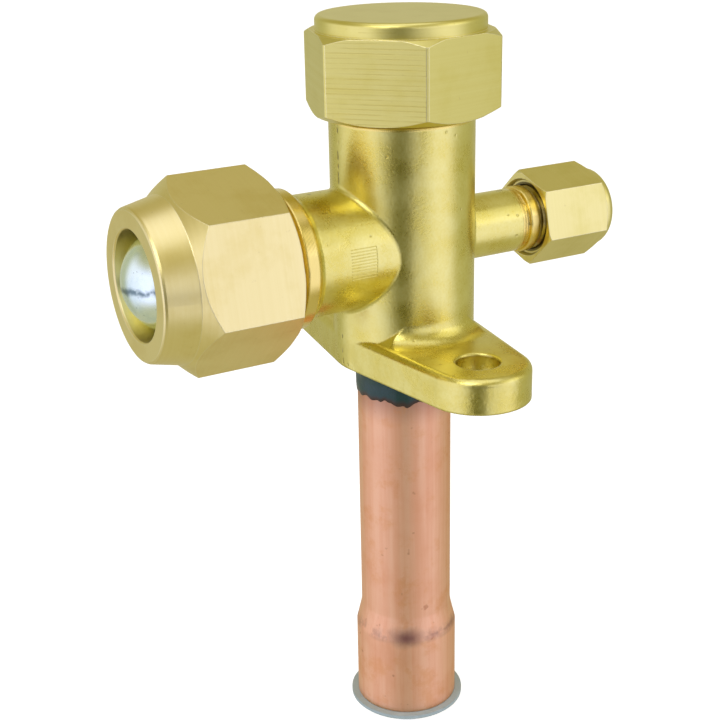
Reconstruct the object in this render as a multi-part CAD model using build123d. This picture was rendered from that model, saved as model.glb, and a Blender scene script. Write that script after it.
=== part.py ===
"""Refrigerant service valve with a flare port, a gauge port and a copper stub tube.

Millimetres, +Z up along the valve stem.  The origin lies where the stem axis meets the
underside of the mounting flange.  The flange's two holes lie on the X axis, the flare
port points along -Y and the service port along +Y.
"""
import os
from math import cos, radians

from build123d import *

# ---- frame of the two side ports -------------------------------------------------
PORT_HEIGHT = 20.0                       # both side ports cross the stem axis here

# ---- forged body -----------------------------------------------------------------
HOUSING_RADIUS = 11.75
HOUSING_TOP = 40.9
NECK_RELIEF_RADIUS = 10.2
NECK_THREAD_RADIUS = 11.0                # M22 x 1.5 outside thread under the bonnet cap
NECK_THREAD_ROOT = 10.08
NECK_PITCH = 1.5
NECK_THREAD_START = 42.0
NECK_TOP = 51.0
FLANGE_THICKNESS = 5.65
FLANGE_END_RADIUS = 8.4
FLANGE_HOLE_OFFSET = 22.25               # half of the 44.5 mm hole spacing
FLANGE_HOLE_RADIUS = 3.5
FLANGE_COVE_RADIUS = 3.3
COVE_LEAN = 4.5                          # how far the blend leans back along the flange's sides
FLANGE_EDGE_ROUND = 1.2
HOLE_EDGE_ROUND = 0.36
JUNCTION_FILLET = 0.8

# ---- flare port (7/8-14 thread, 45 degree flare seat) -------------------------------
FLARE_BARREL_RADIUS = 9.84
FLARE_COLLAR_RADIUS = 11.2
FLARE_RELIEF_RADIUS = 9.9
FLARE_THREAD_RADIUS = 11.1
FLARE_THREAD_ROOT = 10.0
FLARE_PITCH = 1.814
FLARE_THREAD_START = 24.2
FLARE_THREAD_END = 34.5
FLARE_SEAT_SUM = 44.7                    # seat cone: radius + distance along the port
FLARE_LIP_RADIUS = 6.5
FLARE_PASSAGE_RADIUS = 6.3

# ---- service port (7/16-20 thread) ------------------------------------------------
SERVICE_BARREL_RADIUS = 5.37
SERVICE_THREAD_RADIUS = 5.55
SERVICE_THREAD_ROOT = 4.8
SERVICE_PITCH = 1.27
SERVICE_THREAD_START = 24.4
SERVICE_THREAD_END = 33.2
SERVICE_END = 34.4

# ---- bores along the stem axis ------------------------------------------------------
SOCKET_RADIUS = 8.0
SOCKET_DEPTH = 7.5
SEAT_RADIUS = 6.0
CHAMBER_RADIUS = 7.25
STEM_BORE_RADIUS = 8.05
UPPER_BORE_RADIUS = 8.4
RING_GROOVE_RADIUS = 9.2

# ---- caps and nut -------------------------------------------------------------------
BONNET_FLATS = 28.0
CORNER_STRIP = 0.12                      # the bar's rounded corners leave a narrow strip
BONNET_TURN = 42.8                       # rotation of the hexagon about the stem axis
BONNET_MOUTH = 41.1
BONNET_TOP = 56.4
BONNET_DISC_RADIUS = 13.5
BONNET_BORE_RADIUS = 11.05
BONNET_CEILING = 52.1
NUT_FLATS = 27.0
NUT_TURN = 43.6
NUT_REAR = 25.0
NUT_FACE = 46.85
NUT_THREAD_BORE = 11.15
NUT_BORE_RADIUS = 8.6
DOME_RADIUS = 8.2
DOME_WALL = 0.8
DOME_CENTRE = 40.3
SKIRT_START = 35.2
SKIRT_OUTSIDE_SUM = 45.83                # skirt cones: radius + distance along the port
SKIRT_INSIDE_SUM = 44.73
SERVICE_CAP_FLATS = 14.2
SERVICE_CAP_TURN = 16.6
SERVICE_CAP_MOUTH = 24.2
SERVICE_CAP_END = 39.1
SERVICE_CAP_BORE = 5.6
SERVICE_CAP_CEILING = 36.05

# ---- stub tube ----------------------------------------------------------------------
TUBE_RADIUS = 7.94                       # 5/8 inch tube
TUBE_WALL = 1.0
SWAGE_RADIUS = 8.885
SWAGE_BORE_RADIUS = 7.99
SWAGE_START = -47.2
SWAGE_FULL = -51.3
TUBE_END = -65.8

# ---- valve stem ---------------------------------------------------------------------
STEM_TOP = 41.0
STEM_SHANK_RADIUS = 6.6
STEM_GLAND_RADIUS = 7.15
STEM_THREAD_RADIUS = 8.0
STEM_KEY_FLATS = 6.0
STEM_KEY_DEPTH = 5.0

FLARE_PORT = Pos(0, 0, PORT_HEIGHT) * Rot(90, 0, 0)      # local +Z points along -Y
SERVICE_PORT = Pos(0, 0, PORT_HEIGHT) * Rot(-90, 0, 0)   # local +Z points along +Y


def turned(points: list) -> Part:
    """Revolve a closed outline of (radius, height) points about the Z axis."""
    outline = make_face(Polyline(*[(radius, 0, height) for radius, height in points], close=True))
    return revolve(outline, Axis.Z, 360)


def ring(inner: float, outer: float, low: float, high: float) -> Part:
    """A plain tube section between two heights; an inner radius of 0 makes a disc."""
    return turned([(inner, low), (outer, low), (outer, high), (inner, high)])


def ridges(root: float, crest: float, pitch: float, start: float, end: float) -> list:
    """(radius, height) points of V thread ridges from start up to end."""
    points = []
    for turn in range(int((end - start) / pitch)):
        foot = start + turn * pitch
        points.append((root, foot + 0.06 * pitch))
        points.append((crest, foot + 0.5 * pitch))
        points.append((root, foot + 0.94 * pitch))
    return points


def grooves(crest: float, root: float, pitch: float, start: float, end: float) -> list:
    """(radius, height) points of V grooves of an inside thread from start up to end."""
    points = []
    for turn in range(int((end - start) / pitch)):
        foot = start + turn * pitch
        points.append((crest, foot + 0.06 * pitch))
        points.append((root, foot + 0.5 * pitch))
        points.append((crest, foot + 0.94 * pitch))
    return points


def hexagon(flats: float, turn: float, low: float, high: float) -> Part:
    """A hexagonal prism given across its flats and turned about Z."""
    outline = RegularPolygon(flats / 2, 6, major_radius=False, rotation=turn)
    return Pos(0, 0, low) * extrude(outline, high - low)


def flange_outline(inset: float = 0.0) -> Sketch:
    """The flange's outline, or one inset from it: the housing's circle drawn out to two ear circles."""
    with BuildSketch() as outline:
        Circle(HOUSING_RADIUS - inset)
        with Locations((-FLANGE_HOLE_OFFSET, 0), (FLANGE_HOLE_OFFSET, 0)):
            Circle(FLANGE_END_RADIUS - inset)
        make_hull()
    return outline.sketch


def flange() -> Part:
    """The mounting flange with its two holes and rounded upper edges."""
    plate = extrude(flange_outline(), FLANGE_THICKNESS)
    plate = fillet(plate.faces().sort_by(Axis.Z)[-1].outer_wire().edges(), FLANGE_EDGE_ROUND)
    for side in (-1, 1):
        plate -= Pos(side * FLANGE_HOLE_OFFSET, 0, -1) * extrude(Circle(FLANGE_HOLE_RADIUS), 8)
    mouths = plate.edges().filter_by(GeomType.CIRCLE)
    mouths = mouths.filter_by(lambda edge: abs(edge.radius - FLANGE_HOLE_RADIUS) < 0.01)
    return fillet(mouths.filter_by_position(Axis.Z, 5.0, 6.0), HOLE_EDGE_ROUND)


def flange_cove() -> Part:
    """The concave blend between the housing and the flange's upper face."""
    inner = HOUSING_RADIUS - 0.6
    width = FLANGE_COVE_RADIUS + 0.6
    height = FLANGE_COVE_RADIUS + 0.6
    corner = Pos(inner + width / 2, FLANGE_THICKNESS - 0.6 + height / 2) * Rectangle(width, height)
    scoop = Pos(HOUSING_RADIUS + FLANGE_COVE_RADIUS, FLANGE_THICKNESS + FLANGE_COVE_RADIUS)
    profile = Plane.XZ * (corner - scoop * Circle(FLANGE_COVE_RADIUS))
    foot = Pos(0, 0, FLANGE_THICKNESS - 0.6) * flange_outline(FLANGE_EDGE_ROUND - 0.3)
    crown = Pos(0, 0, FLANGE_THICKNESS + 4.4) * flange_outline(FLANGE_EDGE_ROUND + COVE_LEAN)
    return revolve(profile, Axis.Z, 360) & loft([foot, crown], ruled=True)


def housing() -> Part:
    """The upright housing with the outside thread that takes the bonnet cap."""
    neck = ridges(NECK_THREAD_ROOT, NECK_THREAD_RADIUS, NECK_PITCH, NECK_THREAD_START, 50.4)
    return turned([
        (0, 0), (HOUSING_RADIUS, 0), (HOUSING_RADIUS, HOUSING_TOP - 0.5),
        (HOUSING_RADIUS - 0.5, HOUSING_TOP), (NECK_RELIEF_RADIUS, HOUSING_TOP),
        (NECK_RELIEF_RADIUS, NECK_THREAD_START), *neck,
        (NECK_THREAD_ROOT, 50.4), (NECK_THREAD_ROOT - 0.6, NECK_TOP), (0, NECK_TOP),
    ])


def flare_barrel() -> Part:
    """The flare port's barrel, collar, outside thread and 45 degree seat."""
    thread = ridges(FLARE_THREAD_ROOT, FLARE_THREAD_RADIUS, FLARE_PITCH,
                    FLARE_THREAD_START, FLARE_THREAD_END)
    return turned([
        (0, 0), (FLARE_BARREL_RADIUS, 0), (FLARE_BARREL_RADIUS, 19.7),
        (10.1, 20.25), (10.6, 20.75), (FLARE_COLLAR_RADIUS - 0.15, 21.1),
        (FLARE_COLLAR_RADIUS, 21.3), (FLARE_COLLAR_RADIUS, 23.1),
        (FLARE_COLLAR_RADIUS - 0.2, 23.3), (FLARE_RELIEF_RADIUS, 23.3),
        (FLARE_RELIEF_RADIUS, FLARE_THREAD_START), *thread,
        (FLARE_RELIEF_RADIUS, FLARE_SEAT_SUM - FLARE_RELIEF_RADIUS),
        (FLARE_LIP_RADIUS, FLARE_SEAT_SUM - FLARE_LIP_RADIUS),
        (0, FLARE_SEAT_SUM - FLARE_LIP_RADIUS),
    ])


def service_barrel() -> Part:
    """The service port's barrel with its groove, collar and outside thread."""
    thread = ridges(SERVICE_THREAD_ROOT, SERVICE_THREAD_RADIUS, SERVICE_PITCH,
                    SERVICE_THREAD_START, SERVICE_THREAD_END)
    return turned([
        (0, 0), (SERVICE_BARREL_RADIUS, 0), (SERVICE_BARREL_RADIUS, 21.0), (5.0, 21.2),
        (5.0, 22.0), (5.55, 22.0), (5.65, 22.15), (5.65, 23.65), (5.5, 23.8),
        (SERVICE_THREAD_ROOT, 23.8), (SERVICE_THREAD_ROOT, SERVICE_THREAD_START), *thread,
        (SERVICE_THREAD_ROOT, 34.0), (4.4, SERVICE_END), (0, SERVICE_END),
    ])


def stem_bores() -> Part:
    """Everything bored along the stem axis: tube socket, seat, chamber, thread, ring groove."""
    return turned([
        (0, -0.5), (9.7, -0.5), (9.7, 0), (SOCKET_RADIUS, 1.6), (SOCKET_RADIUS, SOCKET_DEPTH),
        (SEAT_RADIUS, SOCKET_DEPTH), (SEAT_RADIUS, 11.0), (CHAMBER_RADIUS, 12.25),
        (CHAMBER_RADIUS, 35.2), (STEM_BORE_RADIUS, 36.0), (STEM_BORE_RADIUS, 44.5),
        (UPPER_BORE_RADIUS, 44.5), (UPPER_BORE_RADIUS, 46.3), (RING_GROOVE_RADIUS, 46.3),
        (RING_GROOVE_RADIUS, 47.5), (UPPER_BORE_RADIUS, 47.5), (UPPER_BORE_RADIUS, 50.5),
        (UPPER_BORE_RADIUS + 0.7, NECK_TOP + 0.2), (0, NECK_TOP + 0.2),
    ])


def service_bore() -> Part:
    """The stepped passage of the service port that holds the valve core."""
    return turned([
        (0, 0), (1.5, 0), (1.5, 15.5), (2.2, 15.5), (2.2, 24.0), (2.65, 24.6),
        (2.65, 33.9), (3.2, SERVICE_END + 0.05), (0, SERVICE_END + 0.05),
    ])


def valve_body() -> Part:
    """The forged body: housing, two barrels and flange blended together, then bored."""
    body = housing() + FLARE_PORT * flare_barrel() + SERVICE_PORT * service_barrel()
    junctions = body.edges().filter_by(lambda edge: edge.geom_type not in (GeomType.CIRCLE, GeomType.LINE))
    body = fillet(junctions, JUNCTION_FILLET)
    body = body + flange() + flange_cove()
    body -= stem_bores()
    body -= FLARE_PORT * ring(0, FLARE_PASSAGE_RADIUS, 0, 40)
    body -= SERVICE_PORT * service_bore()
    return body


def bonnet_cap() -> Part:
    """The hexagonal bonnet cap with its turned disc and threaded bore."""
    corner = BONNET_FLATS / 2 / cos(radians(30)) - CORNER_STRIP
    limit = turned([
        (0, BONNET_MOUTH), (14.0, BONNET_MOUTH), (corner, 42.3), (corner, 53.15), (14.61, 54.0),
        (BONNET_DISC_RADIUS, 54.0), (BONNET_DISC_RADIUS, BONNET_TOP), (0, BONNET_TOP),
    ])
    cap = hexagon(BONNET_FLATS, BONNET_TURN, BONNET_MOUTH - 1, BONNET_TOP + 1) & limit
    cap = fillet(cap.edges().group_by(Axis.Z)[-1], 0.8)
    thread = grooves(BONNET_BORE_RADIUS, 11.85, NECK_PITCH, 42.6, 50.4)
    cap -= turned([
        (0, BONNET_MOUTH - 0.1), (12.0, BONNET_MOUTH - 0.1), (12.0, BONNET_MOUTH),
        (BONNET_BORE_RADIUS, 42.1), *thread, (BONNET_BORE_RADIUS, BONNET_CEILING), (0, BONNET_CEILING),
    ])
    return cap


def bonnet_cap_gasket() -> Part:
    """The flat sealing ring under the bonnet cap's ceiling."""
    return ring(7.5, 10.8, 51.05, 52.05)


def valve_stem() -> Part:
    """The stem: seat cone, shank, O-ring groove, outside thread and a hexagon key socket."""
    thread = ridges(7.1, STEM_THREAD_RADIUS, NECK_PITCH, 36.2, 40.8)
    stem = turned([
        (0, 10.6), (5.57, 10.6), (STEM_SHANK_RADIUS, 11.63), (STEM_SHANK_RADIUS, 26.3),
        (STEM_GLAND_RADIUS, 26.3), (STEM_GLAND_RADIUS, 27.2), (5.4, 27.2), (5.4, 29.4),
        (STEM_GLAND_RADIUS, 29.4), (STEM_GLAND_RADIUS, 30.3), (7.0, 30.3), (7.0, 36.0),
        *thread, (7.1, STEM_TOP), (0, STEM_TOP),
    ])
    key = hexagon(STEM_KEY_FLATS, 0, STEM_TOP - STEM_KEY_DEPTH, STEM_TOP + 1)
    lead_in = turned([(0, STEM_TOP - 0.6), (3.2, STEM_TOP - 0.6), (4.0, STEM_TOP + 0.2), (0, STEM_TOP + 0.2)])
    return stem - key - lead_in


def stem_o_ring() -> Part:
    """The O-ring that seals the stem in the chamber bore."""
    return Pos(0, 0, 28.3) * Torus(6.3, 0.88)


def retaining_ring() -> Part:
    """The open spring ring that keeps the stem from being screwed out."""
    gap = Pos(0, 9, 46.9) * Box(4.0, 6.0, 3.0)
    return ring(7.4, 9.1, 46.4, 47.4) - gap


def flare_nut() -> Part:
    """The hexagonal flare nut with its turned nose, threaded bore and inner cone."""
    corner = NUT_FLATS / 2 / cos(radians(30)) - 0.02
    limit = turned([
        (0, NUT_REAR), (13.6, NUT_REAR), (corner, 26.12), (corner, 39.0), (13.05, 41.55),
        (13.0, 41.75), (11.95, 46.35), (11.75, 46.7), (11.5, NUT_FACE), (0, NUT_FACE),
    ])
    nut = hexagon(NUT_FLATS, NUT_TURN, NUT_REAR - 1, NUT_FACE + 1) & limit
    thread = grooves(NUT_THREAD_BORE, 12.05, FLARE_PITCH, 25.9, 35.2)
    nut -= turned([
        (0, NUT_REAR - 0.1), (12.0, NUT_REAR - 0.1), (12.0, NUT_REAR), (NUT_THREAD_BORE, 25.85),
        *thread, (NUT_THREAD_BORE, 35.2), (10.67, 35.2), (NUT_BORE_RADIUS, 37.27),
        (NUT_BORE_RADIUS, NUT_FACE - 0.25), (NUT_BORE_RADIUS + 0.27, NUT_FACE + 0.02), (0, NUT_FACE + 0.02),
    ])
    return FLARE_PORT * nut


def blanking_cap() -> Part:
    """The pressed steel dome that closes the flare port: conical skirt, wall and half sphere."""
    inside = DOME_RADIUS - DOME_WALL
    shell = turned([
        (SKIRT_INSIDE_SUM - SKIRT_START, SKIRT_START), (SKIRT_OUTSIDE_SUM - SKIRT_START, SKIRT_START),
        (DOME_RADIUS, SKIRT_OUTSIDE_SUM - DOME_RADIUS), (DOME_RADIUS, DOME_CENTRE),
        (inside, DOME_CENTRE), (inside, SKIRT_INSIDE_SUM - inside),
    ])
    dome = Sphere(DOME_RADIUS) - Sphere(inside) - Pos(0, 0, -10) * Box(20, 20, 20)
    return FLARE_PORT * (shell + Pos(0, 0, DOME_CENTRE) * dome)


def service_cap() -> Part:
    """The small hexagonal cap of the service port with its rounded end."""
    corner = SERVICE_CAP_FLATS / 2 / cos(radians(30)) - 0.02
    limit = turned([
        (0, SERVICE_CAP_MOUTH), (7.65, SERVICE_CAP_MOUTH), (corner, 24.5), (corner, 36.25),
        (6.8, 37.05), (6.8, SERVICE_CAP_END), (0, SERVICE_CAP_END),
    ])
    cap = hexagon(SERVICE_CAP_FLATS, SERVICE_CAP_TURN, SERVICE_CAP_MOUTH - 1, SERVICE_CAP_END + 1) & limit
    cap = fillet(cap.edges().group_by(Axis.Z)[-1], 1.7)
    thread = grooves(SERVICE_CAP_BORE, 6.2, SERVICE_PITCH, 25.2, 34.2)
    cap -= turned([
        (0, SERVICE_CAP_MOUTH - 0.1), (6.75, SERVICE_CAP_MOUTH - 0.1), (6.5, 24.5), (6.3, 25.0),
        (SERVICE_CAP_BORE, 25.0),
        *thread, (SERVICE_CAP_BORE, SERVICE_CAP_CEILING), (0, SERVICE_CAP_CEILING),
    ])
    return SERVICE_PORT * cap


def service_cap_gasket() -> Part:
    """The rubber disc that seals the service cap on the port's end."""
    return SERVICE_PORT * ring(0, 5.3, 34.5, 36.0)


def core_plug() -> Part:
    """The valve core's threaded plug with two key flats at its outer end."""
    thread = ridges(2.25, 2.6, 0.7, 27.6, 31.2)
    plug = turned([
        (1.0, 27.5), (2.25, 27.5), *thread, (2.25, 31.3), (2.25, 33.0), (1.0, 33.0),
    ])
    for side in (-1, 1):
        plug -= Pos(0, side * 2.4, 32.3) * Box(6, 2, 1.6)
    return SERVICE_PORT * plug


def core_barrel() -> Part:
    """The valve core's barrel, which houses the spring and carries the inner seat."""
    return SERVICE_PORT * turned([
        (0.75, 19.5), (1.9, 19.5), (2.1, 19.8), (2.1, 27.5), (1.25, 27.5), (1.25, 20.3), (0.75, 20.3),
    ])


def core_gasket() -> Part:
    """The sealing sleeve around the core's barrel."""
    return SERVICE_PORT * turned([(2.12, 24.7), (2.5, 24.7), (2.6, 25.0), (2.6, 26.2), (2.12, 26.2)])


def core_pin() -> Part:
    """The core's pin with the collar that the spring pushes outward."""
    return SERVICE_PORT * turned([
        (0, 18.0), (0.6, 18.0), (0.6, 26.4), (1.1, 26.4), (1.1, 27.0), (0.6, 27.0),
        (0.6, 33.6), (0.4, 33.9), (0, 33.9),
    ])


def core_poppet() -> Part:
    """The cup at the pin's inner end that carries the seal."""
    return SERVICE_PORT * turned([(0.62, 18.2), (1.5, 18.2), (1.75, 18.45), (1.75, 19.2), (0.62, 19.2)])


def core_poppet_seal() -> Part:
    """The rubber washer that closes against the barrel's inner end."""
    return SERVICE_PORT * ring(0.62, 1.6, 19.2, 19.48)


def core_spring() -> Part:
    """The coil spring between the barrel's ledge and the pin's collar."""
    wire = 0.12
    height = 6.1 - 2 * wire
    path = Helix(pitch=height / 8, height=height, radius=0.95)
    section = Plane(origin=path @ 0, z_dir=path % 0) * Circle(wire)
    return SERVICE_PORT * Pos(0, 0, 20.3 + wire) * sweep(section, path=path, is_frenet=True)


def copper_tube() -> Part:
    """The stub tube: brazed end, straight run and the widened end for the next pipe."""
    inner = TUBE_RADIUS - TUBE_WALL
    return turned([
        (inner, 7.4), (TUBE_RADIUS, 7.4), (TUBE_RADIUS, SWAGE_START), (TUBE_RADIUS + 0.2, SWAGE_START - 1.0),
        (SWAGE_RADIUS - 0.15, SWAGE_FULL + 0.6), (SWAGE_RADIUS, SWAGE_FULL), (SWAGE_RADIUS, TUBE_END),
        (SWAGE_BORE_RADIUS, TUBE_END), (SWAGE_BORE_RADIUS, SWAGE_FULL - 0.3), (inner, SWAGE_START - 0.3),
    ])


def braze_fillet() -> Part:
    """The brazing alloy that fills the socket's mouth around the tube."""
    return turned([(7.96, 1.55), (9.55, 0), (7.96, -1.0)])


def sealing_paint() -> Part:
    """The painted band that covers the brazed joint."""
    return turned([(9.6, 0), (9.6, -0.3), (8.35, -2.0), (8.2, -4.8), (7.97, -5.1), (7.97, -1.1)])


def tube_plug() -> Part:
    """The plastic plug in the tube's open end: rim, floor and hollow skirt."""
    low = TUBE_END - 0.85
    rim = TUBE_END - 0.05
    return turned([
        (0, low), (9.9, low), (10.1, low + 0.2), (10.1, rim), (7.9, rim), (7.9, -58.4),
        (7.6, -57.8), (7.1, -57.8), (7.1, rim), (0, rim),
    ])


PARTS = {
    "valve_body": valve_body,
    "bonnet_cap": bonnet_cap,
    "bonnet_cap_gasket": bonnet_cap_gasket,
    "valve_stem": valve_stem,
    "stem_o_ring": stem_o_ring,
    "retaining_ring": retaining_ring,
    "flare_nut": flare_nut,
    "blanking_cap": blanking_cap,
    "service_cap": service_cap,
    "service_cap_gasket": service_cap_gasket,
    "core_plug": core_plug,
    "core_barrel": core_barrel,
    "core_gasket": core_gasket,
    "core_pin": core_pin,
    "core_poppet": core_poppet,
    "core_poppet_seal": core_poppet_seal,
    "core_spring": core_spring,
    "copper_tube": copper_tube,
    "braze_fillet": braze_fillet,
    "sealing_paint": sealing_paint,
    "tube_plug": tube_plug,
}

os.makedirs("parts", exist_ok=True)
for node, make in PARTS.items():
    export_step(make(), f"parts/{node}.step")
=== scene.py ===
"""Looks of a refrigerant service valve: forged brass, turned caps, copper tube and studio.

Metres, +Z up along the valve stem.  Every finished piece sits at the origin with its place in
its mesh, so patterns on Object coordinates are read in the valve's own frame.
"""

import logging
import math
from dataclasses import dataclass, field
from enum import Enum
from typing import Callable

import bmesh
import bpy
from mathutils import Matrix, Vector, noise

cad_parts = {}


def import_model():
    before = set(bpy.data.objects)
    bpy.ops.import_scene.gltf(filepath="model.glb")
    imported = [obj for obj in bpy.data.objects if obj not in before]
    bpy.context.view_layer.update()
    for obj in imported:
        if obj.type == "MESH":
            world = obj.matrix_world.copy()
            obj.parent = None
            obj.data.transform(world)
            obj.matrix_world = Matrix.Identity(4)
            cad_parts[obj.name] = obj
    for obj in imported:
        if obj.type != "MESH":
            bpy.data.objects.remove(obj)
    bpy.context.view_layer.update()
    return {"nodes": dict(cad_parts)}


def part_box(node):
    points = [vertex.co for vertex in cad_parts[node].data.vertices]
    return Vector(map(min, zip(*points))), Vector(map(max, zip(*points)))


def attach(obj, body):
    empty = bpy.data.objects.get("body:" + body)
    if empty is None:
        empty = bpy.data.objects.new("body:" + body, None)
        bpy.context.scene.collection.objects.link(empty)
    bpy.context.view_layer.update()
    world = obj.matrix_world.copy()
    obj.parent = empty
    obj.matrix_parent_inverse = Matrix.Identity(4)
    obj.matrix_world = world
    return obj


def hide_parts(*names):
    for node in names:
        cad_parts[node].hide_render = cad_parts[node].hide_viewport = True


LOG = logging.getLogger("service_valve")
MM = 0.001
FLOOR_GAP = 13.0 * MM                    # room for the plug to be pulled clear
Triple = tuple[float, float, float]
Colour = Triple


class Axis(Enum):
    """A row axis as the index of its component."""

    X = 0
    Y = 1
    Z = 2


# ---------------------------------------------------------------------------------------
# shader building blocks
# ---------------------------------------------------------------------------------------


@dataclass
class Nodes:
    """A thin helper that adds nodes to one node tree and joins their sockets."""

    tree: bpy.types.NodeTree

    def add(self, kind: str, **settings: object) -> bpy.types.Node:
        """Add one node.

        Args:
            kind: The node's type name.
            settings: Properties to set on the node.

        Returns:
            The new node.
        """
        node = self.tree.nodes.new(kind)
        for name, value in settings.items():
            setattr(node, name, value)
        return node

    def join(self, source: bpy.types.NodeSocket, target: bpy.types.NodeSocket) -> None:
        """Join an output to an input."""
        self.tree.links.new(source, target)

    def feed(self, target: bpy.types.NodeSocket, value: object) -> None:
        """Give an input a constant, or join an output to it."""
        if isinstance(value, bpy.types.NodeSocket):
            self.join(value, target)
        else:
            target.default_value = value

    def math(self, operation: str, *values: object, clamp: bool = False) -> bpy.types.NodeSocket:
        """Add a Math node.

        Args:
            operation: The operation's name.
            values: Numbers or output sockets, in input order.
            clamp: Whether the result is kept between 0 and 1.

        Returns:
            The node's result.
        """
        node = self.add("ShaderNodeMath", operation=operation, use_clamp=clamp)
        for socket, value in zip(node.inputs, values):
            self.feed(socket, value)
        return node.outputs[0]

    def noise(self, vector: bpy.types.NodeSocket, scale: float, detail: float = 3.0,
              roughness: float = 0.5) -> bpy.types.NodeSocket:
        """Add a noise texture and return its value between about 0 and 1."""
        node = self.add("ShaderNodeTexNoise")
        self.join(vector, node.inputs["Vector"])
        self.feed(node.inputs["Scale"], scale)
        self.feed(node.inputs["Detail"], detail)
        self.feed(node.inputs["Roughness"], roughness)
        return node.outputs["Fac"]

    def stretched(self, vector: bpy.types.NodeSocket, scale: Triple) -> bpy.types.NodeSocket:
        """Return the vector with each component scaled, which draws a pattern out into streaks."""
        node = self.add("ShaderNodeMapping")
        self.join(vector, node.inputs["Vector"])
        node.inputs["Scale"].default_value = scale
        return node.outputs[0]

    def components(self, vector: bpy.types.NodeSocket) -> bpy.types.NodeOutputs:
        """Split a vector into its X, Y and Z outputs."""
        node = self.add("ShaderNodeSeparateXYZ")
        self.join(vector, node.inputs[0])
        return node.outputs

    def step(self, value: object, low: float, high: float) -> bpy.types.NodeSocket:
        """Return 0 below low, 1 above high and a smooth rise between them; low may exceed high."""
        node = self.add("ShaderNodeMapRange", interpolation_type="SMOOTHSTEP")
        self.feed(node.inputs["Value"], value)
        falling = low > high
        node.inputs["From Min"].default_value = min(low, high)
        node.inputs["From Max"].default_value = max(low, high)
        node.inputs["To Min"].default_value = 1.0 if falling else 0.0
        node.inputs["To Max"].default_value = 0.0 if falling else 1.0
        return node.outputs["Result"]

    def mix(self, factor: object, first: object, second: object) -> bpy.types.NodeSocket:
        """Mix two colours by a factor."""
        node = self.add("ShaderNodeMix", data_type="RGBA")
        self.feed(node.inputs[0], factor)
        for socket, value in ((node.inputs[6], first), (node.inputs[7], second)):
            self.feed(socket, value if isinstance(value, bpy.types.NodeSocket) else (*value, 1.0))
        return node.outputs[2]

    def blend(self, factor: object, first: object, second: object) -> bpy.types.NodeSocket:
        """Mix two numbers by a factor."""
        node = self.add("ShaderNodeMix", data_type="FLOAT")
        for socket, value in zip((node.inputs[0], node.inputs[2], node.inputs[3]), (factor, first, second)):
            self.feed(socket, value)
        return node.outputs[0]


class Effect(Enum):
    """The shared surface effects, each a node group built once."""

    FORGED_GRAIN = "forged grain"
    TOOL_LINES = "tool lines"
    TARNISH = "tarnish"
    PITS = "pits"


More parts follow.
